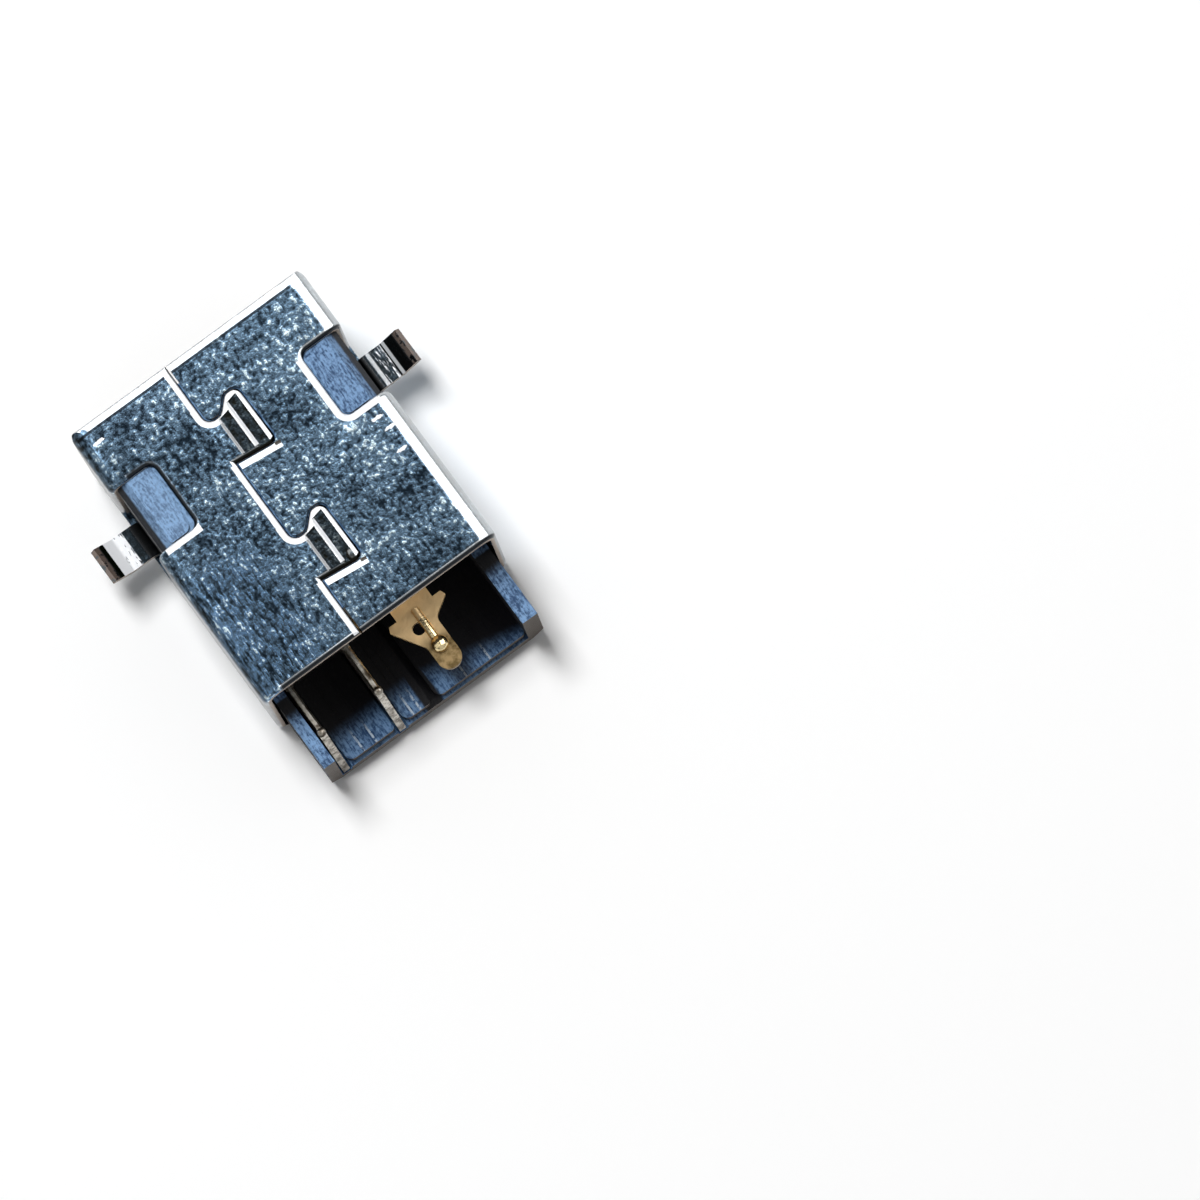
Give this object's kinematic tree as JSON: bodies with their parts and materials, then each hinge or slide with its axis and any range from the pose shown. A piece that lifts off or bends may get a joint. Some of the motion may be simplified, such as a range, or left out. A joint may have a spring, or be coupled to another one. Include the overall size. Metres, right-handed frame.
{
  "type": "dc barrel jack",
  "caption": "Chassis-mounted dc barrel jack with a wrapped metal shell, jigsaw seam, side wings, moulded housing with an open solder tray, centre pin and spring contact.",
  "frame": {"origin": "middle of the jack's footprint, on the outer face of the plain wall that it rests on", "axes": "+Y along the plug's axis from the mouth to the cable end, +Z out of the wall with the seam, +X to the side with the sleeve contact's blades"},
  "size_m": [0.0126, 0.0136, 0.0072],
  "materials": {
    "plated_shell": "nickel-plated copper alloy strip with a fine pebbled grain",
    "black_moulding": "black glass-filled nylon with a matt moulded grain",
    "gold_plate": "thin gold plate on brass",
    "silver_plate": "silver plate on spring bronze"
  },
  "bodies": {
    "root": {"shell": "plated_shell", "housing": "black_moulding", "centre_pin": "gold_plate", "centre_terminal": "gold_plate", "sleeve_contact": "silver_plate"}
  },
  "joints": []
}
